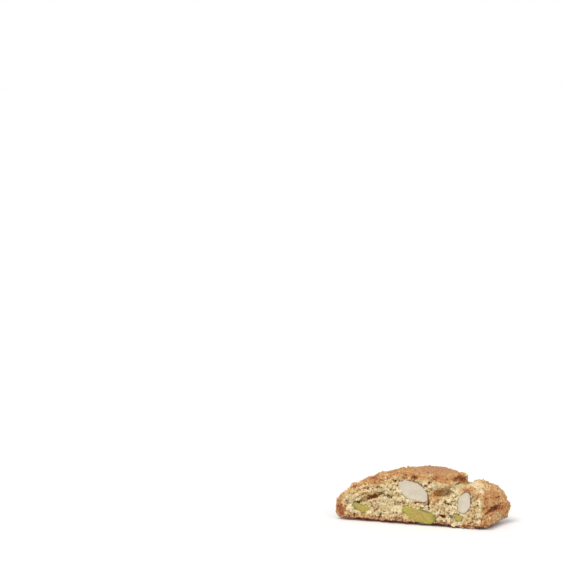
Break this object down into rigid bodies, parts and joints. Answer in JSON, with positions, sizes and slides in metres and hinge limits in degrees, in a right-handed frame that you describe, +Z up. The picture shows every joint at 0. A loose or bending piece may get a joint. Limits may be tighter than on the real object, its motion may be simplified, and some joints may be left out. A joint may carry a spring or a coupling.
{
  "type": "biscotto",
  "caption": "Slice of a twice-baked almond and pistachio biscotto, cut on the skew from a low domed log with a cracked crust, lying on its flat baked base.",
  "frame": {"origin": "middle of the slice's box, on the base that it lies on", "axes": "+X along the cut faces, towards the end with the oven crack, +Y from the front cut to the rear cut, +Z up"},
  "size_m": [0.0728, 0.018, 0.023],
  "materials": {
    "biscuit": "dry granular pale crumb on the two cuts, browned sugary crust elsewhere",
    "almond": "smooth cream kernel with a thin dark skin at its edge",
    "pistachio": "smooth waxy yellow-green kernel"
  },
  "bodies": {
    "root": {"biscuit": "biscuit", "almond_large": "almond", "almond_right": "almond", "pistachio_large": "pistachio", "pistachio_left": "pistachio", "pistachio_chip": "pistachio", "almond_rear_left": "almond", "almond_rear_middle": "almond", "pistachio_rear_left": "pistachio", "pistachio_rear_right": "pistachio"}
  },
  "joints": []
}
